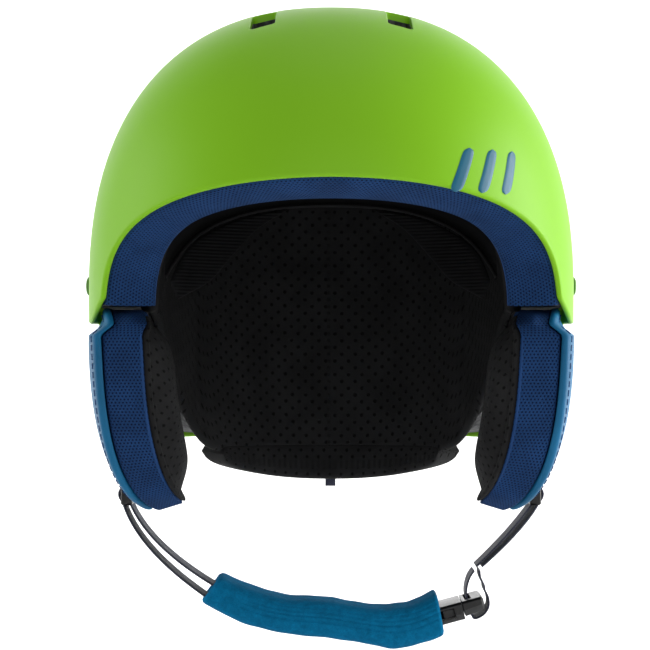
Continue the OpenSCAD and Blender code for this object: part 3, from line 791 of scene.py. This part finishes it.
def pillow(name, side, outline, d_out, d_in, edge, swell_out=0.0, swell_in=0.0, tuck=(1.0, 1.0),
           rings=14, bend=8, square=False, slant=0.0, power=3):
    """A closed pad over an outline: outer face, rounded edge, inner face. side is -1 for the left."""
    centre = np.array([FLAP_Y, outline[:, 1].mean()])
    arm = outline - centre
    inner_scale = 1 - edge / np.linalg.norm(arm, axis=1).mean()
    stack = [(r * inner_scale, 0.0, r) for r in np.linspace(0.02, 1, rings)]
    for b in np.linspace(0, math.pi, bend + 2)[1:-1]:
        stack.append((inner_scale + (1 - inner_scale) * math.sin(b), (1 - math.cos(b)) / 2, 1.0))
    stack += [(r * inner_scale, 1.0, r) for r in np.linspace(1, 0.02, rings)]
    grid = []
    wall = d_in - d_out
    for scale, deep, r in stack:
        y, z = (centre + arm * scale).T
        crown = 1 - r ** power
        if deep <= 0:
            d = d_out - swell_out * crown
        elif deep >= 1:
            d = d_in + swell_in * crown
        else:
            bent = min(edge, wall / 2)
            d = d_out + (deep * 2 * bent if deep < 0.5 else wall - (1 - deep) * 2 * bent)
        z = z + slant * (d - d_out) / max(wall, 1) * smooth((-40 - z) / 40)
        if square:
            nx, nz = lean(np.clip(z, FLAP_LOW + 1.5, 0))
            x = flap_x(y, z, 0, tuck[0]) - d * nx
            z = z - d * nz
        else:
            x = flap_x(y, z, d, tuck[0] + (tuck[1] - tuck[0]) * deep)
        grid.append(np.stack([side * x, y, z], axis=1))
    return grid_piece(name, np.array(grid), close_cols=True, caps=True, flip=side < 0)


def rim_path(side, outline, d, tucked, scale=1.0, slant=0.0):
    centre = np.array([FLAP_Y, outline[:, 1].mean()])
    yz = centre + (outline - centre) * scale
    z = yz[:, 1] + slant * smooth((-40 - yz[:, 1]) / 40)
    return np.stack([side * flap_x(yz[:, 0], z, d, tucked), yz[:, 0], z], axis=1)


def make_flaps():
    depth = COVER_T + COVER_GAP
    for name, side in (("left", -1), ("right", 1)):
        body = f"flap_{name}"
        outline = flap_outline(FLAP_TOP, FLAP_LOW + 1, 0)
        cover = pillow(f"flap_cover_{name}", side, outline, 0, COVER_T, 1.9, 0.25, 0, square=True, bend=10)
        place(cover, body, "teal_cover", TEAL_COVER, f"ear_cover_{name}")
        pad_line = flap_outline(6.5, FLAP_LOW + 1.5, 0.8)
        inner = depth + PAD_T
        pad = pillow(f"flap_pad_{name}", side, pad_line, depth, inner, 1.6, 0, 0, (1.0, 0.3), bend=16,
                     slant=3.5)
        place(pad, body, "navy_mesh", NAVY_MESH, f"ear_pad_{name}")
        cushion_line = flap_outline(4, FLAP_LOW + 5, 1.6)
        cushion = pillow(f"flap_cushion_{name}", side, cushion_line, inner - 0.6, inner + 3.4, 3.4,
                         0, 12.0, (0.3, 0.3), rings=26, bend=12, slant=2, power=6)
        puff(cushion)
        place(cushion, body, "cushion", CUSHION, f"ear_cushion_{name}")
        bead_path = rim_path(side, pad_line, inner - 1.0, 0.3, 0.985, 3.4)
        bead = tube(f"flap_piping_{name}", bead_path, 0.7, 8, closed=True)
        place(bead, body, "navy_mesh", PIPING)
        stitch_path = rim_path(side, flap_outline(FLAP_TOP - 3, FLAP_LOW + 6, 4.5), -0.35, 1.0)
        stitches(f"flap_stitching_{name}", stitch_path, body, "teal_cover", PIPING)


def stitches(name, path, body, slot_name, material, length=2.6, gap=1.2, radius=0.22):
    """A row of separate thread stitches along a closed path."""
    path = np.vstack([path, path[:1]])
    run = lengths(path)
    parts = []
    for start in np.arange(0, run[-1] - length, length + gap):
        at = np.linspace(start, start + length, 6)
        points = np.stack([np.interp(at, run, path[:, k]) for k in range(3)], axis=1)
        parts.append(tube(f"{name}_{len(parts)}", points, radius, 6))
    place(join(name, parts), body, slot_name, material)


def puff(obj, pressure=4.0, cap=6.0):
    """Fills a soft piece like a sewn cushion with a short cloth simulation, and limits how far it moves."""
    before = obj.copy()
    before.data = obj.data.copy()
    bpy.context.collection.objects.link(before)
    bpy.context.view_layer.objects.active = before
    cloth = before.modifiers.new("cloth", "CLOTH")
    cloth.settings.use_pressure = True
    cloth.settings.uniform_pressure_force = pressure
    cloth.settings.quality = 5
    cloth.settings.effector_weights.gravity = 0
    cloth.settings.tension_stiffness = 30
    cloth.settings.compression_stiffness = 30
    cloth.collision_settings.use_collision = False
    cloth.point_cache.frame_start, cloth.point_cache.frame_end = 1, 12
    scene = bpy.context.scene
    for step in range(1, 13):
        scene.frame_set(step)
    graph = bpy.context.evaluated_depsgraph_get()
    shaped = before.evaluated_get(graph).to_mesh()
    size = len(obj.data.vertices) * 3
    old, new = np.empty(size), np.empty(size)
    obj.data.vertices.foreach_get("co", old)
    shaped.vertices.foreach_get("co", new)
    move = (new - old).reshape(-1, 3)
    far = np.linalg.norm(move, axis=1, keepdims=True)
    move *= np.minimum(1, cap * MM / np.maximum(far, 1e-9))
    obj.data.vertices.foreach_set("co", old + move.ravel())
    obj.data.update()
    scene.frame_set(1)
    bpy.data.objects.remove(before)


# ---------------------------------------------------------------- chin strap

def ribbon(name, path, width=14.8, thick=1.0):
    """Flat webbing along a path, its width along Y, with rounded edges and woven UVs."""
    path = np.asarray(path, float)
    tangent = np.gradient(path, axis=0)
    flat = np.stack([-tangent[:, 2], np.zeros(len(path)), tangent[:, 0]], axis=1)
    flat /= np.linalg.norm(flat, axis=1)[:, None]
    wide = np.array([0, 1.0, 0])
    section = []
    for v in np.linspace(-1, 1, 13):
        section.append((v * (width / 2 - 0.3), thick / 2 * (1 - 0.12 * abs(v) ** 6)))
    section.append((width / 2, 0.0))
    for v in np.linspace(1, -1, 13):
        section.append((v * (width / 2 - 0.3), -thick / 2 * (1 - 0.12 * abs(v) ** 6)))
    section.append((-width / 2, 0.0))
    grid = np.stack([path + wide * w + flat * h for w, h in section], axis=1)
    return grid_piece(name, grid, close_cols=True, caps=True, flip=True, sharp=60)


def bend(a, b, c, steps):
    s = np.linspace(0, 1, steps)[:, None]
    a, b, c = (np.asarray(p, float) for p in (a, b, c))
    return a * (1 - s) ** 2 + b * 2 * s * (1 - s) + c * s ** 2


def buckle_point(along, up, y=-5.0):
    """A place in the buckle's own frame: along it to the right, and up from its middle plane."""
    c, n = math.cos(math.radians(15)), math.sin(math.radians(15))
    return [57 + along * c - up * n, y, -124.4 + along * n + up * c]


def make_straps():
    exit_x, exit_y, exit_z = 92, 24, -76
    for name, side in (("left", -1), ("right", 1)):
        upper = bend([97.0, 36.4, 11], [96.6, 33, -20], [exit_x, exit_y, exit_z + 5.6], 50) * [side, 1, 1]
        place(ribbon(f"web_upper_{name}", upper), f"strap_{name}", "webbing", WEBBING, f"strap_upper_{name}")
        fold = np.array([[exit_x - 0.2, exit_y, exit_z + 6.5], [exit_x + 1.3, exit_y, exit_z + 3.4],
                         [exit_x + 3.3, exit_y, exit_z + 1.2], [exit_x + 3.4, exit_y, exit_z - 1.6],
                         [exit_x + 1.4, exit_y, exit_z - 4.6]]) * [side, 1, 1]
        place(ribbon(f"web_fold_{name}", spline(fold, 24), 14.4, 1.1), f"strap_{name}", "webbing", WEBBING)
    left_out = bend([-93.6, 23, -80.6], [-86, 12, -100], [-55, -5, -118.6], 60)
    left_in = bend([-90.4, 23, -80.6], [-81, 12, -99], [-50, -5, -114.6], 60)
    left_out = np.vstack([left_out, [[-50, -5, -121.2], [-46, -5, -123.0]]])
    left_in = np.vstack([left_in, [[-46, -5, -116.9]]])
    right_out = bend([93.4, 23, -80.6], [86, 12, -91], [66, -2, -106], 40)
    right_in = bend([90.6, 23, -80.6], [82, 12, -91], [63.6, -2, -106], 40)
    loop = spline([[65.0, -3, -107.6], [65.3, -4.5, -110.5], [66.8, -5, -113.8], buckle_point(12.0, 5.6),
                   buckle_point(12.6, 2.2), buckle_point(11.9, -1.4), buckle_point(9.6, -4.0),
                   buckle_point(6.4, -5.2), buckle_point(4.2, -4.9), buckle_point(3.8, -2.4),
                   buckle_point(3.8, 2.0), buckle_point(3.6, 5.4), [59.3, -4.5, -114.5], [60.6, -3.5, -110.6],
                   [62.6, -3, -107.6]], 130)
    place(ribbon("web_outer_left", left_out), "strap_left", "webbing", WEBBING, "strap_outer_left")
    place(ribbon("web_inner_left", left_in), "strap_left", "webbing", WEBBING, "strap_inner_left")
    place(ribbon("web_outer_right", right_out), "strap_right", "webbing", WEBBING, "strap_outer_right")
    place(ribbon("web_inner_right", right_in), "strap_right", "webbing", WEBBING, "strap_inner_right")
    place(ribbon("web_loop", loop, 14.6, 0.9), "strap_right", "webbing", WEBBING)


def even_outline(power_a, power_b, count):
    """A rounded-box outline, (across, up) from -1 to 1, with its points evenly spaced."""
    a = np.linspace(0, 2 * math.pi, 4000)
    fine = np.stack([signed_pow(np.cos(a), power_a), signed_pow(np.sin(a), power_b)], axis=1)
    run = lengths(fine * [16, 8])
    at = np.linspace(0, run[-1], count, endpoint=False)
    return np.stack([np.interp(at, run, fine[:, k]) for k in range(2)], axis=1)


def make_chin_pad():
    """Fleece sleeve: a soft flat tube that sags to the right, with sewn lines along its upper half."""
    steps = 170
    top = spline([(-48.5, -109.5), (-31, -116.5), (-17, -119.5), (0, -120.5), (13, -123), (25, -123.5),
                  (35, -122), (46, -117)], steps)
    low = spline([(-57, -121), (-40, -129.5), (-24, -134), (-4, -136.5), (12, -138.5), (26, -141.3),
                  (38, -139.5), (49.5, -135.5)], steps)
    middle, arm = (top + low) / 2, (top - low) / 2
    s = np.linspace(0, 1, steps)
    near_end = np.minimum(s, 1 - s) * 110
    roll = np.sqrt(np.clip(1 - (1 - np.clip(near_end / 2.0, 0, 1)) ** 2, 0, 1))
    shrink = 0.86 + 0.14 * roll
    columns = []
    outline = even_outline(0.5, 0.62, 240)
    for c, q in outline:
        sewn = sum(math.exp(-((q - g) / 0.028) ** 2) for g in (0.68, 0.45, 0.21, -0.06))
        fade = smooth((s - 0.05) / 0.15) * 0.7 + 0.3
        dip = 1 - 0.045 * sewn * fade
        ripple = 0.12 * np.sin(s * 31 + 3 * q) + 0.1 * np.sin(s * 57 - 5 * q)
        x = middle[:, 0] + arm[:, 0] * q * shrink
        z = middle[:, 1] + arm[:, 1] * q * shrink + ripple * q
        columns.append(np.stack([x, -5 + 15.6 * c * shrink * dip + 0 * x, z], axis=1))
    outer = np.stack(columns, axis=1)
    tangent = np.gradient(middle, axis=0)
    tangent /= np.linalg.norm(tangent, axis=1)[:, None]
    ring, centre = outer[0], outer[0].mean(axis=0)
    inward = np.array([tangent[0, 0], 0, tangent[0, 1]])
    mouth = [centre + (ring - centre) * k + inward * d
             for k, d in ((0.05, 9.2), (0.66, 9.0), (0.66, 2.4), (0.72, 0.9), (0.9, 0.0), (0.96, -0.15))]
    pocket = []
    sections = ((-10.9, 13.1, 6.0, 0.3), (-11.8, 12.8, 5.2, 0.1), (-14.0, 12.7, 5.0, 0.0),
                (-31.0, 12.7, 5.0, 0.0), (-31.4, 11.0, 2.8, -1.4), (-37.6, 11.0, 2.8, -1.4),
                (-37.8, 1.0, 0.4, -1.4))
    for along, half_w, half_h, up in sections:
        boxy = signed_pow(outline, 0.6)
        pocket.append([buckle_point(along, q * half_h + up, -5 + c * half_w) for c, q in boxy])
    rings = np.concatenate([np.array(mouth), outer, np.array(pocket)])
    sleeve = grid_piece("chin_sleeve", rings, close_cols=True, caps=True, flip=True)
    place(sleeve, "strap_left", "teal_fleece", FLEECE, "chin_pad")


# ---------------------------------------------------------------- hardware that keeps its CAD shape

def repaint(node, material):
    """Gives a CAD node that is kept a better material."""
    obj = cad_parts[node]
    if not obj.material_slots:
        obj.data.materials.append(material)
    for holder in obj.material_slots:
        holder.material = material


def refine(node, body, slot_name, material, width=0.5, envelope=None):
    """A copy of a CAD part with softened edges, cut to an envelope of corner points if one is given."""
    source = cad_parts[node]
    obj = source.copy()
    obj.data = source.data.copy()
    obj.name = obj.data.name = f"fine_{node}"
    bpy.context.collection.objects.link(obj)
    bm = bmesh.new()
    bm.from_mesh(obj.data)
    bmesh.ops.remove_doubles(bm, verts=bm.verts, dist=0.000005)
    bm.to_mesh(obj.data)
    bm.free()
    if envelope is not None:
        bm = bmesh.new()
        for corner in envelope:
            bm.verts.new(Vector(corner) * MM)
        bmesh.ops.convex_hull(bm, input=bm.verts)
        mesh = bpy.data.meshes.new("envelope")
        bm.to_mesh(mesh)
        bm.free()
        block = bpy.data.objects.new("envelope", mesh)
        bpy.context.collection.objects.link(block)
        cut = obj.modifiers.new("cut", "BOOLEAN")
        cut.object, cut.operation, cut.solver = block, "INTERSECT", "EXACT"
        apply_modifiers(obj)
        bpy.data.objects.remove(block)
    soft = obj.modifiers.new("edges", "BEVEL")
    soft.width, soft.segments = width * MM, 3
    soft.limit_method, soft.angle_limit = "ANGLE", math.radians(35)
    apply_modifiers(obj)
    shade(obj, 40)
    return place(obj, body, slot_name, material, node)


def buckle_envelope(left, right, top, low_left, low_right, half, chamfer):
    """Corners of a buckle half whose underside rises to the right and whose lower edges are chamfered."""
    corners = []
    for along, low in ((left, low_left), (right, low_right)):
        for up, y in ((top, half - 1.2), (top - 1.2, half), (low + chamfer, half), (low, half - chamfer)):
            corners += [buckle_point(along, up, -5 + y), buckle_point(along, up, -5 - y)]
    return corners


def dress_hardware():
    socket = buckle_envelope(-22.5, 0.7, 4.1, -4.1, -4.1, 12.1, 3.2)
    tongue = buckle_envelope(-12, 9.2, 4.1, -4.1, -2.2, 12.1, 3.2)
    tongue += [buckle_point(10.2, up, -5 + y) for up in (2.8, 0.2) for y in (-9.5, 9.5)]
    refine("buckle_socket", "socket", "black_plastic", BLACK, 0.45, socket)
    refine("buckle_tongue", "strap_right", "black_plastic", BLACK, 0.45, tongue)
    refine("buckle_prong_front", "prong_front", "black_plastic", BLACK, 0.3)
    refine("buckle_prong_rear", "prong_rear", "black_plastic", BLACK, 0.3)
    refine("goggle_clip", "goggle_clip", "black_plastic", BLACK, 0.6)
    for side in ("left", "right"):
        refine(f"strap_adjuster_{side}", f"strap_{side}", "black_plastic", BLACK, 1.1)
        refine(f"strap_tab_{side}", f"strap_{side}", "steel", STEEL, 0.25)
    repaint("goggle_clip_base", BLACK)
    repaint("strap_rivets", BLACK)
    # The rivet green carries painted shade: the shell green darkened.
    repaint("flap_rivets", RIVET_GREEN_PAINTED_SHADE)
    repaint("foam_liner", FOAM)
    repaint("chin_webbing", WEBBING)
    repaint("goggle_clip_pin", STEEL)
    repaint("goggle_clip_stud", STEEL)


# ---------------------------------------------------------------- studio

def flat_material(name, colour, rough=0.7):
    p = Paint(name, colour, rough)
    p.bump(p.noise(40, 2), 0.0005, 0.05)
    return p.material


def make_studio():
    floor_z = cad_box[0][2] - 0.055
    profile = [(y, 0.0) for y in np.linspace(-3, 0.7, 20)]
    for a in np.linspace(0, 90, 40)[1:]:
        profile.append((0.7 + 1.3 * math.sin(math.radians(a)), 1.3 - 1.3 * math.cos(math.radians(a))))
    profile += [(2.0, z) for z in np.linspace(1.4, 3.5, 8)]
    grid = np.array([[(x, y, floor_z + z) for y, z in profile] for x in (-4.0, 4.0)]) / MM
    floor = grid_piece("studio_floor", grid, uv=False)
    floor.data.materials.append(flat_material("pale_floor", (0.93, 0.93, 0.93)))
    world = bpy.data.worlds.new("studio")
    bpy.context.scene.world = world
    world.use_nodes = True
    world.node_tree.nodes["Background"].inputs[0].default_value = (1, 1, 1, 1)
    world.node_tree.nodes["Background"].inputs[1].default_value = 0.3
    for name, place_at, size, power in (
            ("right_box", (1.05, 0.1, 0.2), 0.8, 11.5),
            ("left_box", (-1.05, 0.1, 0.2), 0.8, 4.2),
            ("front_box", (0.15, -1.6, 0.5), 1.2, 4.5),
            ("top_box", (0.1, 0.1, 1.3), 0.9, 1.6),
            ("wall_box", (0, 0.55, 1.0), 2.0, 42)):
        data = bpy.data.lights.new(name, "AREA")
        data.shape = "SQUARE"
        data.size = size
        data.energy = power
        lamp = bpy.data.objects.new(name, data)
        lamp.location = place_at
        aim = Vector((0, 2.2, 0.5) if name == "wall_box" else (0, 0, 0)) - Vector(place_at)
        lamp.rotation_euler = aim.to_track_quat("-Z", "Y").to_euler()
        bpy.context.collection.objects.link(lamp)


def make_camera():
    """Level with the side rim, 0.9 m in front, through a long lens."""
    data = bpy.data.cameras.new("camera")
    data.sensor_width = 36
    data.lens = 112.6
    camera = bpy.data.objects.new("camera", data)
    camera.location = (-0.0027, -0.9, 0)
    camera.rotation_euler = (math.pi / 2, 0, 0)
    bpy.context.collection.objects.link(camera)
    bpy.context.scene.camera = camera
    bpy.context.scene.view_settings.view_transform = "Standard"


make_camera()
make_studio()
make_shell()
make_emblem()
make_trim()
make_lining()
make_leaves()
make_nape()
make_flaps()
make_straps()
make_chin_pad()
dress_hardware()
